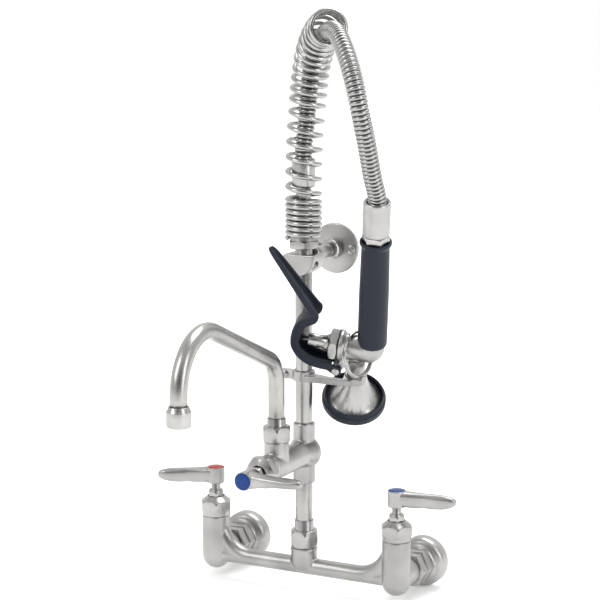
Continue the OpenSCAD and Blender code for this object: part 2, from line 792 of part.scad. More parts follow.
module hook_clamp() {
    color(satin_steel) at_body() translate([0, 0, hook_z]) difference() {
        union() {
            cylinder(h = hook_band_h, r = riser_r + 2.5);
            rotate([0, 0, hook_angle]) intersection() {
                linear_extrude(20) hook_plan();
                rotate([90, 0, 0]) translate([0, 0, -20]) linear_extrude(40) hook_side();
            }
            translate([hook_ear_x - 3.4, -4, 0.5]) cube([-hook_ear_x - 4, 8, hook_band_h - 1]);
        }
        translate([0, 0, -over]) cylinder(h = 40, r = clamp_bore_r);
        translate([hook_ear_x - 10, -0.8, -over]) cube([-hook_ear_x + 4, 1.6, 40]);
        translate([hook_ear_x + 1, 20, hook_band_h / 2]) rotate([90, 0, 0])
            cylinder(h = 40, r = 2.1);
    }
}

module hook_clamp_screw() {
    color(bright_steel) at_body()
        translate([hook_ear_x + 1, -4 - seat_gap, hook_z + hook_band_h / 2])
            rotate([90, 0, 0]) pan_screw(4, 2.6, 2, 9.5);
}

clamp_top = 316.8;
clamp_front = 12.5;
clamp_screw_angle = -15;
clamp_screw_z = 305.6;
clamp_screw_seat = 12;
bracket_socket_r = bracket_tube_r + 2.6;

module bracket_clamp() {
    color(satin_steel) at_body() difference() {
        union() {
            intersection() {
                translate([0, clamp_front, bracket_z]) rotate([90, 0, 0]) {
                    cylinder(h = 2 * clamp_front, r = bracket_clamp_r);
                }
                translate([-30, -30, 0]) cube([60, 60, clamp_top]);
            }
            translate([0, clamp_front - over, bracket_z]) rotate([-90, 0, 0])
                cylinder(h = 11, r1 = bracket_socket_r + 2, r2 = bracket_socket_r);
        }
        translate([0, 0, 280]) cylinder(h = 60, r = clamp_bore_r);
        // Relief under the spring's hexagon
        translate([0, 0, riser_top - 0.4]) cylinder(h = 8, r = spring_nut_r + 0.6);
        translate([0, clamp_front, bracket_z]) rotate([-90, 0, 0])
            cylinder(h = 20, r = bracket_tube_r + seat_gap);
        rotate([0, 0, clamp_screw_angle]) translate([0, 0, clamp_screw_z]) rotate([0, 90, 0]) {
            cylinder(h = 30, r = 2.1);
            translate([0, 0, clamp_screw_seat]) cylinder(h = 20, r = 5);
        }
    }
}

module bracket_clamp_screw() {
    color(bright_steel) at_body() rotate([0, 0, clamp_screw_angle])
        translate([0, 0, clamp_screw_z]) rotate([0, 90, 0])
            translate([0, 0, clamp_screw_seat + seat_gap])
                pan_screw(4.2, 2.6, 2, clamp_screw_seat - riser_r - 0.1);
}

flange_thick = 4.5;
flange_boss_r = 8.9;
lock_ring_r = 10.3;
lock_ring_h = 9;

module at_bracket_flange() {
    translate([0, 0, bracket_z]) rotate([90, 0, 0]) children();
}

module bracket_tube() {
    start = wall_offset - clamp_front - 0.2;
    color(bright_steel) at_bracket_flange()
        tube(bracket_tube_r, bracket_tube_r - 1.6, flange_thick, start);
}

module bracket_flange() {
    color(satin_steel) at_bracket_flange() difference() {
        union() {
            rotate_extrude()
                polygon(concat([[0, 0], [bracket_flange_r, 0]],
                    [for (a = [0:15:90]) [bracket_flange_r - 2.5 + 2.5 * cos(a), 1.6 + 1.6 * sin(a)]],
                    [[12, flange_thick], [0, flange_thick]]));
            cylinder(h = flange_thick + 7.5, r = flange_boss_r);
        }
        translate([0, 0, flange_thick - seat_gap]) cylinder(h = 20, r = bracket_tube_r + seat_gap);
        for (side = [-1, 1])
            translate([side * bracket_screw_spacing / 2, 0, -over]) cylinder(h = 20, r = 2.6);
    }
}

module bracket_lock_ring() {
    color(bright_steel) at_bracket_flange() translate([0, 0, flange_thick + 2.5])
        difference() {
            rotate_extrude()
                polygon([[0, 0], [lock_ring_r, 0], [lock_ring_r, lock_ring_h - 1.6],
                    [lock_ring_r - 1.4, lock_ring_h], [0, lock_ring_h]]);
            translate([0, 0, -over]) cylinder(h = 6 + over, r = flange_boss_r + 0.1);
            cylinder(h = 20, r = bracket_tube_r + seat_gap);
        }
}

module bracket_screws() {
    color(bright_steel) at_bracket_flange()
        for (side = [-1, 1])
            translate([side * bracket_screw_spacing / 2, 0, 4.2])
                pan_screw(4.6, 2.4, 2.4, 4.2);
}

// ---------------------------------------------------------------- spring and hose

spring_seat_z = riser_top + spring_nut_h;
adapter_h = 14;
adapter_neck_r = 9;
adapter_neck_h = 10;
swivel_z = spring_seat_z + adapter_h + 1;
swivel_h = 18;
ferrule_z = spring_seat_z + 52.3;
ferrule_h = 27.6;
ferrule_top = ferrule_z + ferrule_h;

module spring_hex_nut() {
    color(satin_steel) at_body() translate([0, 0, riser_top]) difference() {
        union() {
            hexagon(spring_nut_r, spring_nut_h);
            cylinder(h = spring_nut_h + adapter_h, r = coil_r - wire_d - 0.4);
            cylinder(h = spring_nut_h + adapter_h + adapter_neck_h, r = adapter_neck_r);
        }
        translate([0, 0, -over]) cylinder(h = 60, r = riser_bore_r);
    }
}

module hose_swivel_nut() {
    color(bright_steel) at_body() translate([0, 0, swivel_z]) difference() {
        hexagon(12.6, swivel_h);
        translate([0, 0, -over]) cylinder(h = swivel_h - 4 + over, r = adapter_neck_r + 0.1);
        cylinder(h = 40, r = 7.6);
    }
}

module hose_lower_ferrule() {
    flange_z = swivel_z + adapter_neck_h - 1 + seat_gap;
    color(bright_steel) at_body() difference() {
        union() {
            translate([0, 0, flange_z])
                cylinder(h = swivel_z + swivel_h - 4 - seat_gap - flange_z, r = adapter_neck_r);
            translate([0, 0, flange_z]) cylinder(h = ferrule_z - flange_z + 1, r = 7.5);
            translate([0, 0, ferrule_z]) rotate_extrude()
                polygon([[0, 0], [ferrule_r - 1, 0], [ferrule_r, 1], [ferrule_r, ferrule_h - 0.8],
                    [ferrule_r - 0.8, ferrule_h], [0, ferrule_h]]);
        }
        translate([0, 0, flange_z - over]) cylinder(h = 80, r = 4.5);
        translate([0, 0, ferrule_top - 6]) cylinder(h = 10, r = hose_d / 2 + 0.1);
    }
}

// The spray valve's frame: x towards the lever, y towards the front, z up the grip
valve_place = [75.9, -75.7, 227.1];
valve_turn = [-20, -5, 196];
function valve_axis() =
    let (a = valve_turn[0], b = valve_turn[1], c = valve_turn[2])
    [sin(a) * sin(c) + cos(a) * sin(b) * cos(c), -sin(a) * cos(c) + cos(a) * sin(b) * sin(c),
        cos(a) * cos(b)];
grip_start = 6;
grip_end = grip_start + grip_length;
handle_nut_z = grip_end - 4.4;
handle_nut_h = 10.8;
hose_sleeve_z = handle_nut_z + handle_nut_h + seat_gap;
hose_sleeve_h = 35;
hose_end_z = hose_sleeve_z + hose_sleeve_h - 12;

module at_valve() {
    translate(valve_place) rotate(valve_turn) children();
}

// The hose's free route from its lower ferrule over the arch and down to the spray valve
hose_foot = [0, body_y, ferrule_top - 5.9];
hose_head = valve_place + valve_axis() * hose_end_z;
hose_route = concat([hose_foot], [
    [0, -72, 420], [1.5, -71, 436], [3, -70.5, 453], [4.5, -70.5, 470], [7, -71.5, 487],
    [12, -75.5, 503], [20.5, -84, 517], [31, -94.5, 527.5], [42, -106, 534],
    [53.5, -118.5, 536.5], [65, -131.5, 534], [75.5, -144, 527], [85.5, -154.5, 516.5],
    [94, -162, 503], [100.5, -166, 487], [104.5, -166.5, 470], [106.5, -162.5, 453],
    [107, -156, 437], [106.5, -148, 420], [105.5, -139.5, 404],
    valve_place + valve_axis() * (hose_end_z + 14)], [hose_head]);
hose_sides = 12;

module flexible_hose() {
    color(hose_steel) sweep(smooth(hose_route, 3), hose_d / 2, hose_sides, [0.8, 0.6, 0.05]);
}

// The spring's own route: up the riser's axis and over, a little outside the hose
spring_route = [[0, body_y, spring_seat_z + wire_d / 2], [0, -72, 350], [0, -72, 380],
    [0.5, -72, 410], [1.5, -71.5, 436], [3, -71, 453], [4.5, -71, 470], [7, -72, 488],
    [11.5, -75.5, 505], [19.2, -82.7, 519.4], [28.7, -92.2, 530], [38.2, -102, 536]];
// Turns of the coil against the share of the route that they have climbed
close_turns = 7.2;
close_pitch = 5.4;
open_turns = 15.3;
spring_points = smooth(spring_route, 6);
spring_lengths = run_lengths(spring_points);
spring_run = spring_lengths[len(spring_lengths) - 1];
close_run = close_turns * close_pitch;
coil_turns = [[0, 0], [close_turns, close_run],
    [close_turns + 0.37 * open_turns, close_run + 0.46 * (spring_run - close_run)],
    [close_turns + open_turns, spring_run]];
coil_start_angle = 27 + 360 * (close_turns + 0.3);
coil_mean_r = coil_r - wire_d / 2;
coil_steps = 15;
coil_sides = 6;

// A point of the wire after so many turns; the coil is left-handed
function coil_point(turns) =
    let (s = lookup(turns, coil_turns), c = point_at(spring_points, spring_lengths, s),
        t = unit(point_at(spring_points, spring_lengths, min(s + 2, spring_run))
            - point_at(spring_points, spring_lengths, max(s - 2, 0))),
        u = unit(cross([0, 1, 0], t)), v = cross(t, u), a = coil_start_angle - 360 * turns)
    c + coil_mean_r * (cos(a) * u + sin(a) * v);

module overhead_spring() {
    total = close_turns + open_turns;
    wire = [for (i = [0:floor(total * coil_steps)]) coil_point(i / coil_steps)];
    color(bright_steel) coil_wire(wire, wire_d / 2, coil_sides);
}

// Wire swept along a tight coil, its section carried by the path's own curvature
module coil_wire(path, r, sides) {
    count = len(path);
    rings = [for (i = [0:count - 1])
        let (j = min(max(i, 1), count - 2), t = unit(path[j + 1] - path[j - 1]),
            bend = path[j + 1] + path[j - 1] - 2 * path[j], v = unit(cross(t, bend)),
            u = cross(v, t))
        for (k = [0:sides - 1])
            path[i] + r * (cos(360 * k / sides) * u + sin(360 * k / sides) * v)];
    last = (count - 1) * sides;
    walls = [for (i = [0:count - 2], k = [0:sides - 1])
        let (a = i * sides + k, b = i * sides + (k + 1) % sides)
        each [[a, a + sides, b], [b, a + sides, b + sides]]];
    ends = [[for (k = [0:sides - 1]) k], [for (k = [sides - 1:-1:0]) last + k]];
    polyhedron(rings, concat(walls, ends), convexity = 10);
}

// ---------------------------------------------------------------- spray valve

neck_in_r = 12.2;
handle_r = 8;
handle_bore_r = 5;
handle_seat_z = 10;
bore_start = -7;
bore_r = 8.8;
flange_start = 28.5;
flange_end = 31.7;
bonnet_start = 32.45;
hex_length = 8;
tip_start = 53;
tip_end = 63;
spigot_start = 12;
stem_end = 75.4;
pin_x = 33.5;
pin_z = -22.4;
pin_r = 2.4;
lug_half = 7;
bell_root = 14;
bell_dir = [0.077, -0.269, -0.960];
bell_neck_r = 8.6;

// Chamber axis: x towards the lever, tilted up by the chamber's slant
module at_chamber() {
    at_valve() rotate([0, 90 - chamber_tilt, 0]) children();
}

// Bell axis: +Z runs down the neck to the rim
module at_bell() {
    at_valve() translate([bell_root, 0, 0])
        rotate([0, acos(bell_dir[2]), atan2(bell_dir[1], bell_dir[0])]) children();
}

module valve_body() {
    color(satin_steel) difference() {
        union() {
            at_valve() translate([1, 0, 1]) sphere(r = chamber_r);
            at_chamber() cylinder(h = flange_start - 3, r = chamber_r);
            at_chamber() translate([0, 0, flange_start - 3.1])
                cylinder(h = 3.1, r1 = chamber_r, r2 = chamber_r + 2.2);
            at_chamber() translate([0, 0, flange_start])
                cylinder(h = flange_end - flange_start, r = 15.5);
            at_valve() cylinder(h = grip_start + 5, r = neck_in_r);
            at_valve() cylinder(h = grip_start + 10, r = handle_r + 2);
            at_bell() cylinder(h = 42, r = bell_neck_r);
            at_bell() translate([0, 0, 6]) cylinder(h = 5, r1 = 11.5, r2 = bell_neck_r);
            // Lug that carries the lever's pin
            at_valve() translate([0, lug_half, 0]) rotate([90, 0, 0])
                linear_extrude(2 * lug_half)
                    polygon(concat([[18, -6], [31.2, -6], [31.2, -15]],
                        arc([pin_x, pin_z], 5, 80, -170, 10)));
        }
        at_chamber() translate([0, 0, bore_start]) cylinder(h = 60, r = bore_r);
        at_valve() cylinder(h = grip_start + 12, r = handle_bore_r);
        at_valve() translate([0, 0, handle_seat_z]) cylinder(h = 30, r = handle_r + seat_gap);
        at_bell() cylinder(h = 44, r = 4.6);
        at_valve() translate([pin_x, 20, pin_z]) rotate([90, 0, 0])
            cylinder(h = 40, r = pin_r + run_gap);
    }
}

module handle_tube() {
    color(satin_steel) at_valve()
        tube(handle_r, handle_bore_r, handle_seat_z + 0.1, handle_nut_z + handle_nut_h - 3);
}

module valve_grip() {
    cup = 4.6;
    lip_r = grip_r + 1.1;
    color(navy_rubber) at_valve() translate([0, 0, grip_start]) difference() {
        rotate_extrude()
            polygon(concat([[0, 0]], arc([grip_r - 4, 4], 4, -90, 0, 5),
                [[grip_r, 60], [grip_r - 0.9, grip_length - 7]],
                arc([lip_r - 1.4, grip_length - 3], 1.4, -60, 0, 3),
                arc([lip_r - 1.2, grip_length - 1.2], 1.2, 0, 90, 4), [[0, grip_length]]));
        translate([0, 0, -over]) cylinder(h = 10.2 + over, r = handle_r + 2.1);
        translate([0, 0, -over]) cylinder(h = 5.1 + over, r = neck_in_r + 0.1);
        cylinder(h = 200, r = handle_r + seat_gap);
        translate([0, 0, grip_length - cup]) cylinder(h = 10, r = 13.55);
        // Notch that clears the chamber
        translate([0, 0, -grip_start]) {
            rotate([0, 90 - chamber_tilt, 0]) cylinder(h = 30, r = chamber_r + 0.3);
            translate([1, 0, 1]) sphere(r = chamber_r + 0.3);
        }
    }
}

module hose_handle_nut() {
    color(bright_steel) at_valve() translate([0, 0, handle_nut_z + 0.1]) difference() {
        hexagon(13.4, handle_nut_h - 0.1);
        translate([0, 0, -over]) cylinder(h = handle_nut_h - 3 + over, r = handle_r + 0.1);
        cylinder(h = 30, r = handle_bore_r);
    }
}

module hose_sleeve() {
    color(satin_steel) at_valve() translate([0, 0, hose_sleeve_z]) difference() {
        rotate_extrude()
            polygon([[0, 0], [hose_sleeve_r - 1, 0], [hose_sleeve_r, 1],
                [hose_sleeve_r, hose_sleeve_h - 1], [hose_sleeve_r - 0.8, hose_sleeve_h],
                [0, hose_sleeve_h]]);
        translate([0, 0, -over]) cylinder(h = 60, r = handle_bore_r);
        translate([0, 0, hose_sleeve_h - 12.1]) cylinder(h = 20, r = hose_d / 2 + 0.1);
        translate([0, 0, hose_sleeve_h - 4])
            cylinder(h = 4.1, r1 = hose_d / 2, r2 = hose_sleeve_r - 1.4);
    }
}

module bonnet_gasket() {
    color(black_rubber) at_chamber()
        tube(15.2, 10, flange_end + seat_gap, bonnet_start - seat_gap);
}

module valve_bonnet() {
    cone_start = bonnet_start + hex_length;
    color(satin_steel) at_chamber() difference() {
        union() {
            translate([0, 0, bonnet_start]) hexagon(bonnet_hex_r, hex_length + 0.6, 2.4);
            translate([0, 0, cone_start]) rotate_extrude()
                polygon(concat([[0, -1], [13.6, -1]],
                    [for (a = [0:15:90]) [6.2 + 7 * (1 - sin(a)), 12.5 * (1 - cos(a))]],
                    [[6.7, tip_end - cone_start - 7], [6.7, tip_end - cone_start - 0.8],
                     [6, tip_end - cone_start], [0, tip_end - cone_start]]));
            translate([0, 0, spigot_start])
                cylinder(h = bonnet_start - spigot_start + 1, r = bore_r - seat_gap);
        }
        translate([0, 0, spigot_start - over]) cylinder(h = 80, r = stem_r + run_gap);
        translate([0, 0, spigot_start - over]) cylinder(h = 13, r = 5);
        translate([0, 0, spigot_start + 5]) rotate([0, 90, 0]) cylinder(h = 20, r = 3.4);
    }
}

module valve_stem() {
    color(bright_steel) at_chamber() {
        translate([0, 0, 3]) cylinder(h = stem_end - 3.8, r = stem_r);
        translate([0, 0, stem_end - 1]) cylinder(h = 1, r1 = stem_r, r2 = stem_r - 0.8);
        translate([0, 0, 6]) cylinder(h = 3.4, r = 7.2);
    }
}

module valve_seat_washer() {
    color(black_rubber) at_chamber() tube(6.7, stem_r + seat_gap, 9.4 + seat_gap, 11.9);
}

module valve_spring() {
    turns = 4;
    wire_r = 0.6;
    mean_r = 5.6;
    start = bore_start + wire_r + 0.2;
    pitch = (6 - 2 * wire_r - 0.4 - bore_start) / turns;
    wire = [for (i = [0:turns * 10]) [mean_r * cos(36 * i), mean_r * sin(36 * i),
        start + pitch * i / 10]];
    color(bright_steel) at_chamber() coil_wire(wire, wire_r, 5);
}

// ---------------------------------------------------------------- squeeze lever

// The lever is one bent channel. Its back runs from the pin under the bonnet, round in
// front of the stem and back to a tight corner: x, z and the depth of its side walls
lever_back = [[39.6, -22.8, 8.8], [50.6, -21.8, 9.8], [63.4, -18.2, 10.4], [73, -10.6, 9.6],
    [78.2, -1.6, 8.6], [79.2, 6, 8.8], [78.4, 13.6, 9.6], [75.6, 22.6, 10],
    [69.4, 30, 8.8], [60.6, 34.5, 8]];
corner = [61, 36.1];
corner_r = 1.6;
corner_depth = 8.2;
blade_angle = 55.5;
blade_length = 77;
// Distance along the blade, depth of its walls and share of the full half width
blade_shape = [[2, 7, 1], [9, 6.4, 1], [24, 6, 0.88], [40, 5.6, 0.75], [56, 5.2, 0.62],
    [66, 4.8, 0.54], [70.5, 4.4, 0.49], [73.5, 4, 0.42], [75.6, 3.6, 0.32],
    [76.7, 3.4, 0.2], [77, 3.3, 0.08]];

// A station: place of the back, direction in degrees, wall depth and half width
function back_stations(half) = let (line = smooth(lever_back, 3), last = len(line) - 1)
    [for (i = [0:last])
        let (a = line[max(i - 1, 0)], b = line[min(i + 1, last)])
        [line[i][0], line[i][1], atan2(b[1] - a[1], b[0] - a[0]), line[i][2], half]];

function corner_stations(half) = [for (a = [145:-15:blade_angle + 5])
    [corner[0] - corner_r * sin(a), corner[1] + corner_r * cos(a), a, corner_depth, half]];

function blade_stations(half) =
    [for (b = blade_shape) let (s = b[0] * blade_length / 77)
        [corner[0] - corner_r * sin(blade_angle) + s * cos(blade_angle),
         corner[1] + corner_r * cos(blade_angle) + s * sin(blade_angle),
         blade_angle, b[1], b[2] * half]];

// Outline of the channel across its length: distance from the back, then sideways
function channel_outline(depth, half) =
    let (wall = min(lever_thick, depth - 0.25), inside = max(half - lever_thick, 0.35 * half),
        soft = min(1.2, half * 0.4))
    [[soft, -half], [depth, -half], [depth, -inside], [wall, -inside], [wall, inside],
     [depth, inside], [depth, half], [soft, half], [0, half - soft], [0, soft - half]];

module lever_channel() {
    half = lever_width / 2;
    stations = concat(back_stations(half), corner_stations(half), blade_stations(half));
    sides = 10;
    points = [for (s = stations, p = channel_outline(s[3], s[4]))
        [s[0] - p[0] * sin(s[2]), p[1], s[1] + p[0] * cos(s[2])]];
    walls = [for (i = [0:len(stations) - 2], k = [0:sides - 1])
        let (a = i * sides + k, b = i * sides + (k + 1) % sides)
        each [[a, b, a + sides], [b, b + sides, a + sides]]];
    last = (len(stations) - 1) * sides;
    // Each end is closed in three flat pieces, because the outline is hollow
    caps = [[0, 1, 2, 3], [0, 3, 4, 7, 8, 9], [4, 5, 6, 7]];
    ends = concat([for (c = caps) reversed(c)], [for (c = caps) [for (k = c) last + k]]);
    polyhedron(points, concat(walls, ends), convexity = 10);
}

function reversed(list) = [for (i = [len(list) - 1:-1:0]) list[i]];

module squeeze_lever() {
    half = lever_width / 2;
    color(navy_rubber) at_valve() difference() {
        union() {
            lever_channel();
            // Ears that reach from the channel to the pin
            for (start = [-half + 0.1, half - lever_thick + 0.1])
                translate([0, start + lever_thick - 0.2, 0]) rotate([90, 0, 0])
                    linear_extrude(lever_thick - 0.2)
                        polygon(concat(arc([pin_x, pin_z], 5.4, 105, 275, 10),
                            [[42, -22.3], [42, -14.4]]));
        }
        translate([pin_x, 30, pin_z]) rotate([90, 0, 0]) cylinder(h = 60, r = pin_r + seat_gap);
    }
}

module lever_pin() {
    reach = lever_width / 2 + 0.1;
    color(bright_steel) at_valve() translate([pin_x, 0, pin_z]) rotate([90, 0, 0]) {
        translate([0, 0, -reach]) cylinder(h = 2 * reach, r = pin_r);
        for (side = [-1, 1])
            translate([0, 0, side * (reach + 0.8)])
                intersection() {
                    cylinder(h = 1.6, r = 3.8, center = true);
                    translate([0, 0, -side * 5]) sphere(r = 6.2);
                }
    }
}

// ---------------------------------------------------------------- hold-down ring

ring_place = [13, 3.7, -3.9];
ring_tip = 70;
ring_swing = 156.7;
ring_open_angle = 9;

// A split ring of two turns of wire side by side
module hold_ring() {
    color(bright_steel) at_valve() translate(ring_place)
        rotate([0, ring_tip, ring_swing])
            for (side = [-1, 1])
                rotate([0, 0, side * ring_open_angle / 2 + 200])
                    rotate_extrude(angle = 360 - ring_open_angle)
                        translate([ring_r, side * (ring_wire_r - 0.2)]) circle(r = ring_wire_r);
}

// ---------------------------------------------------------------- spray bell

bell_start = 36;

module spray_bell() {
    wall = 1.8;
    flare = bell_r - bell_neck_r - 2.4;
    depth = bell_length - 6 - bell_start - 5;
    outer = concat([[bell_neck_r + 1.4, bell_start], [bell_neck_r + 2.4, bell_start + 1],
        [bell_neck_r + 2.4, bell_start + 5]],
        [for (a = [15:15:90]) [bell_neck_r + 2.4 + flare * (1 - cos(a)) * 0.55
            + flare * 0.45 * a / 90, bell_start + 5 + depth * sin(a) * 0.5 + depth * 0.5 * a / 90]],
        [[bell_r, bell_length - 1]]);
    inner = [for (i = [len(outer) - 1:-1:3]) [outer[i][0] - wall, outer[i][1] + 0.01]];
    color(bright_steel) at_bell() difference() {
        rotate_extrude()
            polygon(concat([[4.7, bell_start]], outer, inner, [[4.7, bell_start + 8]]));
        translate([0, 0, bell_start - over]) cylinder(h = 6 + over + seat_gap, r = bell_neck_r + 0.1);
    }
}

module spray_face() {
    face_z = bell_length - 4;
    color(satin_steel) at_bell() difference() {
        translate([0, 0, face_z]) cylinder(h = 2, r = bell_r - 1.9);
        for (row = [[1, 0], [6, 7.5], [12, 14.5], [16, 20.5]])
            for (i = [0:row[0] - 1])
                rotate([0, 0, 360 * i / row[0]]) translate([row[1], 0, face_z - over])
                    cylinder(h = 4, r = 0.9, $fn = 16);
    }
}

module spray_bumper() {
    lip = bumper_r - 3;
    color(black_rubber) at_bell() translate([0, 0, bell_length - 11.5]) rotate_extrude()
        polygon(concat([[bell_r + 0.05, 1]],
            [[bell_r + 1.2, 0]], arc([lip, 5.5], 3, -60, 0, 4), arc([lip, 10.2], 3, 0, 90, 5),
            [[bell_r - 2.6, 13.2], [bell_r - 2.6, 10.6], [bell_r + 0.05, 10.6]]));
}

faucet_body();
inlet_coupling_nuts();
inlet_washers();
inlet_flanges();
valve_cartridges();
bonnet_nuts();
packing_nuts();
hot_spindle();
hot_lever();
hot_lever_screw();
hot_index_button();
cold_spindle();
cold_lever();
cold_lever_screw();
cold_index_button();
addon_spindle();
addon_lever();
addon_lever_screw();
addon_index_button();
riser_base_nut();
riser_collar();
riser_o_ring();
lower_riser();
upper_riser();
addon_body();
nozzle_nut();
nozzle_collar();
nozzle_o_ring();
swing_nozzle();
nozzle_outlet();
hook_clamp();
hook_clamp_screw();
bracket_clamp();
bracket_clamp_screw();
bracket_tube();
bracket_lock_ring();
bracket_flange();
bracket_screws();
spring_hex_nut();
overhead_spring();
hose_swivel_nut();
hose_lower_ferrule();
flexible_hose();
hose_sleeve();
hose_handle_nut();
handle_tube();
valve_grip();
valve_body();
bonnet_gasket();
valve_bonnet();
valve_stem();
valve_seat_washer();
valve_spring();
squeeze_lever();
lever_pin();
hold_ring();
spray_bell();
spray_face();
spray_bumper();
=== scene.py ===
import math

import bpy
from mathutils import Euler, Matrix, Vector


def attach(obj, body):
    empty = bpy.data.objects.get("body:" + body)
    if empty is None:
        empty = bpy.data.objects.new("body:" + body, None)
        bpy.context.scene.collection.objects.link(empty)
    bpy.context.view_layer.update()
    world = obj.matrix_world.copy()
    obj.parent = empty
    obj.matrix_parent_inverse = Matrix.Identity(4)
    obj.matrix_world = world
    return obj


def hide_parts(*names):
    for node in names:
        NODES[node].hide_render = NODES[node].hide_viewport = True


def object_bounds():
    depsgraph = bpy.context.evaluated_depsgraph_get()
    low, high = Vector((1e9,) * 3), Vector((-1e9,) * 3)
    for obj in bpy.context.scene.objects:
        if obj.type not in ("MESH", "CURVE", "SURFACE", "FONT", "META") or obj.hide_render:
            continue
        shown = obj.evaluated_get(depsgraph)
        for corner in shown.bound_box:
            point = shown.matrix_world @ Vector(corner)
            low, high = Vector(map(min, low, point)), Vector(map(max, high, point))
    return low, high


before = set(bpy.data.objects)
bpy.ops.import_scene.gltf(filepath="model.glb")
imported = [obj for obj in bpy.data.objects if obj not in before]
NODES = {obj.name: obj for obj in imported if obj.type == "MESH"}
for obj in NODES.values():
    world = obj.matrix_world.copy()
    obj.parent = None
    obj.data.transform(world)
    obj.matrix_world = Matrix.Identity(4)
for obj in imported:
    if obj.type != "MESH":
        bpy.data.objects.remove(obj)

MM = 0.001
FULL_TURN = 2 * math.pi
cad_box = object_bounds()


def deselect_all():
    if bpy.context.object is not None and bpy.context.object.mode != "OBJECT":
        bpy.ops.object.mode_set(mode="OBJECT")
    bpy.ops.object.select_all(action="DESELECT")


# ------------------------------------------------------------------ camera

CAMERA_PLACE = (0.8697, -1.7733, 0.6022)
CAMERA_PITCH = math.radians(80.15)
CAMERA_ROLL = math.radians(-0.12)
CAMERA_TURN = math.radians(27.19)
CAMERA_LENS = 118.13
CAMERA_SENSOR = 36
CAMERA_REACH = 30


def add_camera():
    deselect_all()
    bpy.ops.object.camera_add(location=CAMERA_PLACE)
    camera = bpy.context.object
    camera.name = "camera"
    aim = (
        Matrix.Rotation(CAMERA_TURN, 4, "Z")
        @ Matrix.Rotation(CAMERA_PITCH, 4, "X")
        @ Matrix.Rotation(CAMERA_ROLL, 4, "Z")
    )
    camera.rotation_euler = aim.to_euler()
    camera.data.lens = CAMERA_LENS
    camera.data.sensor_width = CAMERA_SENSOR
    camera.data.clip_end = CAMERA_REACH
    bpy.context.scene.camera = camera


add_camera()

# ------------------------------------------------------------------ finishes

# The part of a noise's range where its values change from low to high
NOISE_LOW = 0.3
NOISE_HIGH = 0.7
MOTTLE_SCALE = 28
GRAIN_STRETCH = (1, 1, 6)
GRAIN_HEIGHT = 0.2 * MM
RUBBER_SHINE = 0.3
# Painted shade: the dark tone painted into the hose's grooves
GROOVE_SHADE_TONE = (0.07, 0.07, 0.07, 1)


class Finish:
    """A node material under construction, with the few nodes that every finish here uses."""

    def __init__(self, name, color, metallic, roughness):
        self.material = bpy.data.materials.new(name)
        self.material.use_nodes = True
        self.tree = self.material.node_tree
        self.shader = self.tree.nodes["Principled BSDF"]
        self.shader.inputs["Base Color"].default_value = (*color, 1)
        self.shader.inputs["Metallic"].default_value = metallic
        self.shader.inputs["Roughness"].default_value = roughness
        self.material.diffuse_color = (*color, 1)
        self.coords = self.node("ShaderNodeTexCoord").outputs["Object"]

    def node(self, kind):
        return self.tree.nodes.new(kind)

    def link(self, source, target):
        self.tree.links.new(source, target)

    def noise(self, scale, detail, stretch=(1, 1, 1)):
        mapping = self.node("ShaderNodeMapping")
        mapping.inputs["Scale"].default_value = stretch
        self.link(self.coords, mapping.inputs["Vector"])
        noise = self.node("ShaderNodeTexNoise")
        noise.inputs["Scale"].default_value = scale
        noise.inputs["Detail"].default_value = detail
        self.link(mapping.outputs["Vector"], noise.inputs["Vector"])
        return noise.outputs["Fac"]

    def spread(self, value, low, high):
        """A noise turned into roughness between low and high."""
        ramp = self.node("ShaderNodeMapRange")
        ramp.inputs["From Min"].default_value = NOISE_LOW
        ramp.inputs["From Max"].default_value = NOISE_HIGH
        ramp.inputs["To Min"].default_value = low
        ramp.inputs["To Max"].default_value = high
        self.link(value, ramp.inputs["Value"])
        self.link(ramp.outputs["Result"], self.shader.inputs["Roughness"])

    def tint(self, value, color, darker, lighter):
        """A noise turned into base colour between two shades of one colour."""
        ramp = self.node("ShaderNodeValToRGB")
        dark, light = ramp.color_ramp.elements
        dark.position = NOISE_LOW
        dark.color = (*(c * darker for c in color), 1)
        light.position = NOISE_HIGH
        light.color = (*(c * lighter for c in color), 1)
        self.link(value, ramp.inputs["Fac"])
        self.link(ramp.outputs["Color"], self.shader.inputs["Base Color"])

    def bump(self, height, strength):
        bump = self.node("ShaderNodeBump")
        bump.inputs["Strength"].default_value = strength
        bump.inputs["Distance"].default_value = GRAIN_HEIGHT
        self.link(height, bump.inputs["Height"])
        self.link(bump.outputs["Normal"], self.shader.inputs["Normal"])


def steel(name, color, roughness, grain, grain_depth, mottle=0.06):
    """Polished or satin steel with fine grinding marks and slow changes of tone."""
    finish = Finish(name, color, 1.0, roughness)
    finish.tint(finish.noise(MOTTLE_SCALE, 2), color, 1 - mottle, 1 + mottle)
    marks = finish.noise(grain, 4, GRAIN_STRETCH)
    finish.spread(marks, roughness * 0.8, roughness * 1.3)
    finish.bump(marks, grain_depth)
    return finish.material


def rubber(name, color, roughness, speckle, depth):
    """Vinyl, rubber and enamel: matt to glossy, with a faint grain."""
    finish = Finish(name, color, 0.0, roughness)
    finish.shader.inputs["Specular IOR Level"].default_value = RUBBER_SHINE
    grain = finish.noise(speckle, 3)
    finish.tint(grain, color, 0.85, 1.2)
    finish.spread(grain, roughness - 0.06, roughness + 0.1)
    finish.bump(grain, depth)
    return finish.material


def paint_groove_shade(material):
    """Painted shade: base colour falls to a dark tone where the piece's own groove value rises, as
    shade would deep in its grooves.
    """
    tree = material.node_tree
    base = tree.nodes["Principled BSDF"].inputs["Base Color"]
    groove_shade = tree.nodes.new("ShaderNodeAttribute")
    groove_shade.attribute_name = "groove_shade"
    mix = tree.nodes.new("ShaderNodeMix")
    mix.data_type = "RGBA"
    tree.links.new(groove_shade.outputs["Fac"], mix.inputs["Factor"])
    tree.links.new(base.links[0].from_socket, mix.inputs["A"])
    mix.inputs["B"].default_value = GROOVE_SHADE_TONE
    tree.links.new(mix.outputs["Result"], base)


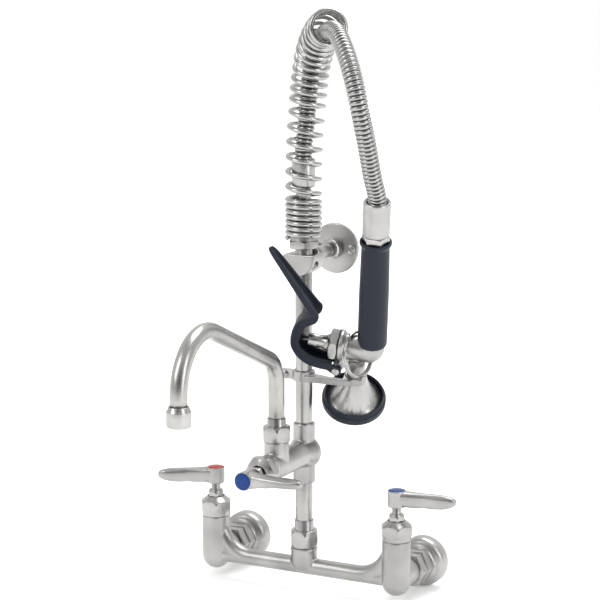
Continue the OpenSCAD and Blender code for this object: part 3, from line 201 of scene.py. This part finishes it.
SATIN = steel("satin_cast_steel", (0.40, 0.395, 0.385), 0.34, 900, 0.25, 0.16)
TURNED = steel("turned_steel", (0.42, 0.415, 0.405), 0.25, 1100, 0.18, 0.12)
TUBE = steel("drawn_tube_steel", (0.41, 0.405, 0.39), 0.27, 800, 0.2, 0.12)
WIRE = steel("bright_wire_steel", (0.42, 0.42, 0.41), 0.24, 900, 0.12)
HOSE = steel("interlocked_hose_steel", (0.40, 0.40, 0.395), 0.27, 900, 0.12)
BRASS = steel("machined_brass", (0.70, 0.52, 0.24), 0.3, 700, 0.2)
GRIP = rubber("navy_grip_vinyl", (0.009, 0.013, 0.024), 0.45, 900, 0.15)
BLACK = rubber("black_rubber", (0.012, 0.012, 0.014), 0.5, 700, 0.2)
RED = rubber("red_index_enamel", (0.36, 0.016, 0.012), 0.3, 400, 0.03)
BLUE = rubber("blue_index_enamel", (0.003, 0.04, 0.20), 0.3, 400, 0.03)
# The hose's grooves are darkened with painted shade
paint_groove_shade(HOSE)

FINISH_OF = {
    SATIN: "faucet_body inlet_flanges addon_body hook_clamp bracket_clamp bracket_flange "
    "spring_hex_nut hose_sleeve valve_body spray_face hot_lever cold_lever addon_lever",
    TURNED: "inlet_coupling_nuts bonnet_nuts packing_nuts riser_base_nut riser_collar "
    "nozzle_nut nozzle_collar nozzle_outlet hose_swivel_nut hose_lower_ferrule "
    "hose_handle_nut bracket_lock_ring valve_bonnet spray_bell hot_spindle cold_spindle "
    "addon_spindle valve_stem hook_clamp_screw bracket_clamp_screw bracket_screws "
    "hot_lever_screw cold_lever_screw addon_lever_screw lever_pin",
    TUBE: "lower_riser upper_riser swing_nozzle bracket_tube handle_tube",
    WIRE: "overhead_spring hold_ring valve_spring",
    HOSE: "flexible_hose",
    BRASS: "valve_cartridges",
    GRIP: "valve_grip squeeze_lever spray_bumper",
    BLACK: "inlet_washers riser_o_ring nozzle_o_ring bonnet_gasket valve_seat_washer",
    RED: "hot_index_button",
    BLUE: "cold_index_button addon_index_button",
}


def wear(piece, material):
    if not piece.material_slots:
        piece.data.materials.append(material)
    for slot in piece.material_slots:
        slot.material = material


for material, names in FINISH_OF.items():
    for name in names.split():
        wear(NODES[name], material)

# ------------------------------------------------------------------ hose and spring


def blend_points(p0, p1, p2, p3, u):
    return 0.5 * (
        2 * p1
        + (p2 - p0) * u
        + (2 * p0 - 5 * p1 + 4 * p2 - p3) * u * u
        + (3 * p1 - p0 - 3 * p2 + p3) * u * u * u
    )


def smooth_line(points, steps):
    """A smooth curve through points, as the solids' source draws it."""
    line = []
    last = len(points) - 1
    for i in range(last):
        near = (points[max(i - 1, 0)], points[i], points[i + 1], points[min(i + 2, last)])
        line += [blend_points(*near, k / steps) for k in range(steps)]
    return line + [points[last]]


def line_lengths(line):
    lengths = [0.0]
    for a, b in zip(line, line[1:]):
        lengths.append(lengths[-1] + (b - a).length)
    return lengths


def point_at(line, lengths, distance):
    """The point at a distance along a line."""
    for i in range(len(line) - 1):
        if lengths[i + 1] >= distance:
            share = (distance - lengths[i]) / max(lengths[i + 1] - lengths[i], 1e-9)
            return line[i].lerp(line[i + 1], min(max(share, 0), 1))
    return line[-1]


def even_line(line, count):
    """The same line with points at equal distances."""
    lengths = line_lengths(line)
    whole = lengths[-1]
    return [point_at(line, lengths, whole * n / (count - 1)) for n in range(count)]


def carried_frames(line):
    """A direction across the line at each point, carried along without twist."""
    ahead = (line[1] - line[0]).normalized()
    side = ahead.orthogonal().normalized()
    frames = []
    for i in range(len(line)):
        before = line[max(i - 1, 0)]
        after = line[min(i + 1, len(line) - 1)]
        ahead = (after - before).normalized()
        side = (side - ahead * side.dot(ahead)).normalized()
        frames.append((side, ahead.cross(side)))
    return frames


def loft(name, rings):
    """A closed skin over rings of points, with a flat face at each end."""
    sides = len(rings[0])
    vertices = [point for ring in rings for point in ring]
    faces = []
    for start in range(0, len(vertices) - sides, sides):
        for k in range(sides):
            a = start + k
            b = start + (k + 1) % sides
            faces.append((a, b, b + sides, a + sides))
    faces.append(tuple(range(sides - 1, -1, -1)))
    faces.append(tuple(range(len(vertices) - sides, len(vertices))))
    mesh = bpy.data.meshes.new(name)
    mesh.from_pydata(vertices, [], faces)
    mesh.update()
    piece = bpy.data.objects.new(name, mesh)
    bpy.context.scene.collection.objects.link(piece)
    return piece


def swept_tube(name, line, radii, sides):
    """A round tube along a line, with a radius for each of its points."""
    angles = [FULL_TURN * k / sides for k in range(sides)]
    rings = []
    for point, (side, up), radius in zip(line, carried_frames(line), radii):
        rings.append([point + radius * (math.cos(a) * side + math.sin(a) * up) for a in angles])
    tube = loft(name, rings)
    for face in tube.data.polygons:
        face.use_smooth = True
    return tube


HOSE_DIAMETER = 0.0175
# The spray valve's frame: x towards the lever, y towards the front, z up the grip
VALVE_PLACE = Vector((75.9, -75.7, 227.1)) * MM
VALVE_TURN = Euler([math.radians(a) for a in (-20, -5, 196)], "XYZ").to_matrix()


def valve_point(height):
    """The point on the grip's axis at a height in millimetres."""
    return VALVE_PLACE + VALVE_TURN @ (Vector((0, 0, height)) * MM)


def route_points(places):
    """Points for places given in millimetres."""
    return [Vector(place) * MM for place in places]


# From the lower ferrule, up through the spring, over the crest and down to the grip
HOSE_ROUTE = (
    [(0, -72, 404.3), (0, -72, 420), (1.5, -71, 436), (3, -70.5, 453), (4.5, -70.5, 470)]
    + [(7, -71.5, 487), (12, -75.5, 503), (20.5, -84, 517), (31, -94.5, 527.5), (42, -106, 534)]
    + [(53.5, -118.5, 536.5), (65, -131.5, 534), (75.5, -144, 527), (85.5, -154.5, 516.5)]
    + [(94, -162, 503), (100.5, -166, 487), (104.5, -166.5, 470), (106.5, -162.5, 453)]
    + [(107, -156, 437), (106.5, -148, 420), (105.5, -139.5, 404)]
)
# Height of the hose's upper end above the spray valve, and its straight stretch before that
HOSE_END = 151.45
HOSE_STRAIGHT = 14
ROUTE_STEPS = 12
HOSE_LINE = smooth_line(
    route_points(HOSE_ROUTE) + [valve_point(HOSE_END + HOSE_STRAIGHT), valve_point(HOSE_END)],
    ROUTE_STEPS,
)
HOSE_LENGTH = line_lengths(HOSE_LINE)[-1]
HOSE_PITCH = 0.0042
# Radius in a groove as a share of the radius on a ridge
HOSE_GROOVE = 0.82
# One ridge: place along it and radius, both as shares
HOSE_RIDGE = (
    [(0.0, HOSE_GROOVE), (0.10, 0.84), (0.20, 0.96), (0.35, 1.0), (0.6, 1.0), (0.8, 0.98)]
    + [(0.90, 0.92)]
)
RIDGE_STEPS = 20
HOSE_SIDES = 28


def flexible_hose():
    """Interlocked hose: wide ridges with narrow grooves between them, darkened by painted shade.
    """
    ridges = round(HOSE_LENGTH / HOSE_PITCH)
    fine = even_line(HOSE_LINE, ridges * RIDGE_STEPS + 1)
    line = []
    heights = []
    for ridge in range(ridges):
        for place, height in HOSE_RIDGE:
            line.append(fine[round((ridge + place) * RIDGE_STEPS)])
            heights.append(height)
    line.append(fine[-1])
    heights.append(HOSE_GROOVE)
    radii = [HOSE_DIAMETER / 2 * height for height in heights]
    hose = swept_tube("flexible_hose_ridged", line, radii, HOSE_SIDES)
    # How deep each point lies in a groove, which sets the painted shade there
    depth = hose.data.attributes.new("groove_shade", "FLOAT", "POINT")
    for vertex, groove_shade in enumerate(depth.data):
        groove_shade.value = (1 - heights[vertex // HOSE_SIDES]) / (1 - HOSE_GROOVE)
    wear(hose, HOSE)
    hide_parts("flexible_hose")
    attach(hose, "faucet")


flexible_hose()

# The coil's axis, which stays beside the hose as far as the crest
SPRING_ROUTE = (
    [(0, -72, 332.55), (0, -72, 350), (0, -72, 380), (0.5, -72, 410), (1.5, -71.5, 436)]
    + [(3, -71, 453), (4.5, -71, 470), (7, -72, 488), (11.5, -75.5, 505), (19.2, -82.7, 519.4)]
    + [(28.7, -92.2, 530), (38.2, -102, 536), (49, -114, 539.6)]
)
CLOSE_TURNS = 7.2
CLOSE_PITCH = 5.4 * MM
OPEN_TURNS = 17.4
# The lower open turns stand wider apart: this share of them takes this share of the length
WIDE_TURNS = 0.37
WIDE_LENGTH = 0.46
# Where the wire starts on its circle, in degrees, and the points in one turn
COIL_START = 207
COIL_STEPS = 28
WIRE_SIDES = 12
SPRING_MEAN_R = 16.0 * MM
SPRING_WIRE_R = 2.4 * MM
# The axis's direction is taken between two of this many even points, this far to either side
AXIS_POINTS = 1200
HALF_CHORD = 2 * MM


def look_up(x, table):
    """The value at x in a table of straight stretches."""
    for (x0, y0), (x1, y1) in zip(table, table[1:]):
        if x <= x1:
            return y0 + (y1 - y0) * (x - x0) / (x1 - x0)
    return table[-1][1]


def overhead_spring():
    """Close turns at the foot, then open turns that lean over the arch."""
    axis = smooth_line(route_points(SPRING_ROUTE), ROUTE_STEPS)
    lengths = line_lengths(axis)
    whole = lengths[-1]
    even = even_line(axis, AXIS_POINTS)

    def even_point(distance):
        return even[round(distance / whole * (AXIS_POINTS - 1))]

    close = CLOSE_TURNS * CLOSE_PITCH
    climb = [
        (0, 0),
        (CLOSE_TURNS, close),
        (CLOSE_TURNS + WIDE_TURNS * OPEN_TURNS, close + WIDE_LENGTH * (whole - close)),
        (CLOSE_TURNS + OPEN_TURNS, whole),
    ]
    line = []
    for i in range(int((CLOSE_TURNS + OPEN_TURNS) * COIL_STEPS) + 1):
        turns = i / COIL_STEPS
        s = look_up(turns, climb)
        after = even_point(min(s + HALF_CHORD, whole))
        before = even_point(max(s - HALF_CHORD, 0))
        ahead = (after - before).normalized()
        side = Vector((0, 1, 0)).cross(ahead).normalized()
        up = ahead.cross(side)
        a = math.radians(COIL_START - 360 * turns)
        across = math.cos(a) * side + math.sin(a) * up
        line.append(point_at(axis, lengths, s) + SPRING_MEAN_R * across)
    radii = [SPRING_WIRE_R] * len(line)
    spring = swept_tube("overhead_spring_wire", line, radii, WIRE_SIDES)
    wear(spring, WIRE)
    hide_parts("overhead_spring")
    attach(spring, "faucet")


overhead_spring()

# ------------------------------------------------------------------ metal pieces

MERGE_REACH = 0.002 * MM
# Faces that meet flatter than the first are one face, edges sharper than the second get a
# bevel, and edges flatter than the third are shaded smooth
FLAT_ANGLE = math.radians(1.5)
SHARP_ANGLE = math.radians(30)
SHADE_ANGLE = math.radians(32)


def merged_copy(name, node_name):
    """A piece with its own mesh, made from a node's solid with its triangles joined up."""
    deselect_all()
    source = NODES[node_name]
    piece = bpy.data.objects.new(name, source.data.copy())
    bpy.context.scene.collection.objects.link(piece)
    bpy.context.view_layer.objects.active = piece
    piece.select_set(True)
    bpy.ops.object.mode_set(mode="EDIT")
    bpy.ops.mesh.select_all(action="SELECT")
    bpy.ops.mesh.remove_doubles(threshold=MERGE_REACH)
    bpy.ops.object.mode_set(mode="OBJECT")
    return piece


def stand_for(piece, node_name, body):
    wear(piece, NODES[node_name].material_slots[0].material)
    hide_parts(node_name)
    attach(piece, body)


def machined(node_name, body="faucet", edge=0.3):
    """Turned, milled and drawn pieces: every sharp edge broken by a small bevel."""
    piece = merged_copy(node_name + "_edged", node_name)
    bpy.ops.object.mode_set(mode="EDIT")
    bpy.ops.mesh.select_all(action="SELECT")
    bpy.ops.mesh.dissolve_limited(angle_limit=FLAT_ANGLE)
    bpy.ops.object.mode_set(mode="OBJECT")
    bevel = piece.modifiers.new("edge", "BEVEL")
    bevel.width = edge * MM
    bevel.segments = 2
    bevel.limit_method = "ANGLE"
    bevel.angle_limit = SHARP_ANGLE
    bevel.use_clamp_overlap = True
    bpy.ops.object.modifier_apply(modifier="edge")
    bpy.ops.object.shade_smooth_by_angle(angle=SHADE_ANGLE)
    stand_for(piece, node_name, body)


def cast(node_name, voxel, rounds, body="faucet", extra=None):
    """Cast or moulded pieces: one skin, with soft fillets wherever two forms meet."""
    piece = merged_copy(node_name + "_cast", node_name)
    if extra is not None:
        extra.select_set(True)
        bpy.ops.object.join()
    skin = piece.modifiers.new("skin", "REMESH")
    skin.mode = "VOXEL"
    skin.voxel_size = voxel * MM
    bpy.ops.object.modifier_apply(modifier="skin")
    fillet = piece.modifiers.new("fillet", "SMOOTH")
    fillet.factor = 0.5
    fillet.iterations = rounds
    bpy.ops.object.modifier_apply(modifier="fillet")
    bpy.ops.object.shade_smooth()
    stand_for(piece, node_name, body)


cast("faucet_body", voxel=0.8, rounds=7)
cast("addon_body", voxel=0.8, rounds=7)
cast("valve_body", voxel=0.6, rounds=6)
cast("bracket_clamp", voxel=0.6, rounds=4)
cast("hook_clamp", voxel=0.5, rounds=3)
cast("squeeze_lever", voxel=0.45, rounds=4, body="squeeze")
cast("valve_grip", voxel=0.6, rounds=4)

# The paddle of a valve lever: distance out, half width, top and underside in millimetres
PADDLE = (
    [(22, 4.6, 15.2, 1.2), (30, 4.8, 15.1, 0.6), (38, 4.8, 14.9, 0.2), (46, 4.7, 14.4, 0.6)]
    + [(52, 4.4, 13.7, 1.8), (56, 3.8, 12.6, 3.4), (58.3, 2.8, 11.2, 5.2), (59.4, 1.2, 9.6, 7.0)]
)
PADDLE_SIDES = 24
PADDLE_ROUNDNESS = 0.75
# Start of each valve's axis in millimetres, its tilt to the front and its lever's angle in degrees
LEVER_PLACES = {
    "hot": ((-101.6, -72, 39.3), 0, 205),
    "cold": ((101.6, -72, 39.3), 0, 11),
    "addon": ((0, -149.4, 116.5), 90, 1.5),
}
HUB_BOTTOM = 33.7


def fullness(value):
    """A sine or cosine pushed outwards, for a section between an ellipse and a box."""
    return math.copysign(abs(value) ** PADDLE_ROUNDNESS, value)


def lever_paddle(which):
    """The blunt paddle of one lever, lofted through rounded sections."""
    place, tilt, angle = LEVER_PLACES[which]
    frame_of = (
        Matrix.Translation(Vector(place) * MM)
        @ Matrix.Rotation(math.radians(tilt), 4, "X")
        @ Matrix.Rotation(math.radians(angle), 4, "Z")
    )
    rings = []
    for out, half, top, under in PADDLE:
        ring = []
        for k in range(PADDLE_SIDES):
            a = FULL_TURN * k / PADDLE_SIDES
            across = half * fullness(math.cos(a))
            height = (top + under) / 2 + (top - under) / 2 * fullness(math.sin(a))
            ring.append(frame_of @ (Vector((out, across, HUB_BOTTOM + height)) * MM))
        rings.append(ring)
    return loft(which + "_paddle", rings)


for which in LEVER_PLACES:
    cast(which + "_lever", 0.45, 3, body=which + "_handle", extra=lever_paddle(which))
for name in (
    "inlet_coupling_nuts inlet_flanges packing_nuts riser_collar lower_riser upper_riser "
    "bracket_tube bracket_lock_ring bracket_flange spring_hex_nut hose_swivel_nut "
    "hose_lower_ferrule hose_sleeve hose_handle_nut handle_tube valve_bonnet spray_bell "
    "spray_face spray_bumper hook_clamp_screw bracket_clamp_screw bracket_screws lever_pin"
).split():
    machined(name)
for name in ("nozzle_collar", "nozzle_outlet"):
    machined(name, "nozzle")
for name in ("bonnet_nuts", "riser_base_nut", "nozzle_nut"):
    machined(name, edge=1.1)

# The spout in its own upright plane, in millimetres, and where that plane stands
SPOUT_FOOT_Z = 127.9
SPOUT_BEND_Z = 198.0
SPOUT_SLOPE = math.radians(21.8)
SPOUT_FOOT_BEND = 30.0
SPOUT_END_BEND = 51.0
SPOUT_REACH = 203.2
SPOUT_DROP = 8.4
SPOUT_RADIUS = 7.94
SPOUT_PLACE = Vector((0, -130.7, 0))
SPOUT_TURN = math.radians(3.1 - 90)
SPOUT_SIDES = 40
FOOT_STEPS = 12
SLOPE_STEPS = 5
END_STEPS = 24
# How far below the first bend the upright stretch has its last point
FOOT_EASE = 12


def spout_line():
    """The spout's centre line: up, a bend on to the slope, the slope and an arch down."""
    line = [(0, SPOUT_FOOT_Z), (0, SPOUT_BEND_Z - FOOT_EASE)]
    for k in range(FOOT_STEPS + 1):
        a = (math.pi / 2 - SPOUT_SLOPE) * k / FOOT_STEPS
        across = SPOUT_FOOT_BEND * (1 - math.cos(a))
        line.append((across, SPOUT_BEND_Z + SPOUT_FOOT_BEND * math.sin(a)))
    out, height = line[-1]
    run = SPOUT_REACH - SPOUT_END_BEND * (1 + math.sin(SPOUT_SLOPE)) - out
    rise = run * math.tan(SPOUT_SLOPE)
    for k in range(1, SLOPE_STEPS):
        line.append((out + run * k / SLOPE_STEPS, height + rise * k / SLOPE_STEPS))
    centre_out = SPOUT_REACH - SPOUT_END_BEND
    centre_height = height + rise - SPOUT_END_BEND * math.cos(SPOUT_SLOPE)
    for k in range(END_STEPS + 1):
        a = (math.pi / 2 + SPOUT_SLOPE) * (1 - k / END_STEPS)
        across = centre_out + SPOUT_END_BEND * math.cos(a)
        line.append((across, centre_height + SPOUT_END_BEND * math.sin(a)))
    line.append((SPOUT_REACH, centre_height - SPOUT_DROP))
    ahead = Vector((math.cos(SPOUT_TURN), math.sin(SPOUT_TURN), 0))
    return [(SPOUT_PLACE + ahead * out + Vector((0, 0, z))) * MM for out, z in line]


def spout_tube():
    line = spout_line()
    radii = [SPOUT_RADIUS * MM] * len(line)
    spout = swept_tube("swing_nozzle_tube", line, radii, SPOUT_SIDES)
    stand_for(spout, "swing_nozzle", "nozzle")


spout_tube()
machined("valve_stem", "stem")
for which in LEVER_PLACES:
    for part in ("_spindle", "_lever_screw", "_index_button"):
        machined(which + part, which + "_handle", edge=0.2)

# ------------------------------------------------------------------ stage and light

FLOOR_SIZE = 12
FLOOR_GAP = 0.2 * MM
FLOOR_TONE = (0.96, 0.96, 0.96, 1)
# The floor glows a little, and more towards its far edge: distances and strengths
GLOW_NEAR = (0.3, 0.25)
GLOW_FAR = (1.6, 0.6)


def add_floor():
    """A pale floor under the lowest point, which fades into the white of the room."""
    deselect_all()
    lowest = cad_box[0][2]
    bpy.ops.mesh.primitive_plane_add(size=FLOOR_SIZE, location=(0, 0, lowest - FLOOR_GAP))
    floor = bpy.context.object
    floor.name = "floor"
    pale = bpy.data.materials.new("pale_floor")
    pale.use_nodes = True
    tree = pale.node_tree
    shader = tree.nodes["Principled BSDF"]
    shader.inputs["Base Color"].default_value = FLOOR_TONE
    shader.inputs["Roughness"].default_value = 0.9
    coords = tree.nodes.new("ShaderNodeTexCoord")
    reach = tree.nodes.new("ShaderNodeVectorMath")
    reach.operation = "LENGTH"
    tree.links.new(coords.outputs["Object"], reach.inputs[0])
    glow = tree.nodes.new("ShaderNodeMapRange")
    glow.inputs["From Min"].default_value, glow.inputs["To Min"].default_value = GLOW_NEAR
    glow.inputs["From Max"].default_value, glow.inputs["To Max"].default_value = GLOW_FAR
    tree.links.new(reach.outputs["Value"], glow.inputs["Value"])
    shader.inputs["Emission Color"].default_value = (1, 1, 1, 1)
    tree.links.new(glow.outputs["Result"], shader.inputs["Emission Strength"])
    floor.data.materials.append(pale)


CENTRE = Vector((0.03, -0.1, 0.27))
# Name, place, width and height, power
LIGHTS = [
    ("key_light", (-0.9, -1.6, 1.5), (0.9, 1.2), 12),
    ("fill_light", (1.7, -0.6, 0.9), (0.6, 1.4), 8),
    ("top_light", (0.2, 0.5, 1.8), (1.2, 1.0), 16),
]


def add_light(name, place, size, power):
    """A soft rectangular light that faces the middle of the faucet."""
    deselect_all()
    bpy.ops.object.light_add(type="AREA", location=place)
    light = bpy.context.object
    light.name = name
    light.data.shape = "RECTANGLE"
    light.data.size, light.data.size_y = size
    light.data.energy = power
    light.rotation_euler = (CENTRE - Vector(place)).to_track_quat("-Z", "Y").to_euler()


# A studio that is white behind the faucet, softly lit at its sides and dim in front
ROOM_FRONT = (0.47, -0.865, 0.175)
# From behind to the front: place on the way, as a share, and tone there
ROOM_TONES = (
    [(0.001, 1.0), (0.35, 1.0), (0.6, 0.62), (0.8, 0.72), (0.93, 0.5), (0.975, 0.16)]
    + [(0.999, 0.06)]
)


def add_world():
    world = bpy.data.worlds.new("studio")
    bpy.context.scene.world = world
    world.use_nodes = True
    tree = world.node_tree
    coords = tree.nodes.new("ShaderNodeTexCoord")
    along = tree.nodes.new("ShaderNodeVectorMath")
    along.operation = "DOT_PRODUCT"
    along.inputs[1].default_value = ROOM_FRONT
    tree.links.new(coords.outputs["Generated"], along.inputs[0])
    share = tree.nodes.new("ShaderNodeMapRange")
    share.inputs["From Min"].default_value = -1
    tree.links.new(along.outputs["Value"], share.inputs["Value"])
    ramp = tree.nodes.new("ShaderNodeValToRGB")
    for place, tone in ROOM_TONES:
        stop = ramp.color_ramp.elements.new(place)
        stop.color = (tone, tone, tone, 1)
    ramp.color_ramp.elements.remove(ramp.color_ramp.elements[0])
    ramp.color_ramp.elements.remove(ramp.color_ramp.elements[-1])
    tree.links.new(share.outputs["Result"], ramp.inputs["Fac"])
    background = tree.nodes["Background"]
    tree.links.new(ramp.outputs["Color"], background.inputs["Color"])
    background.inputs["Strength"].default_value = 1.0


add_floor()
add_world()
for light in LIGHTS:
    add_light(*light)

bpy.context.scene.view_settings.view_transform = "Standard"
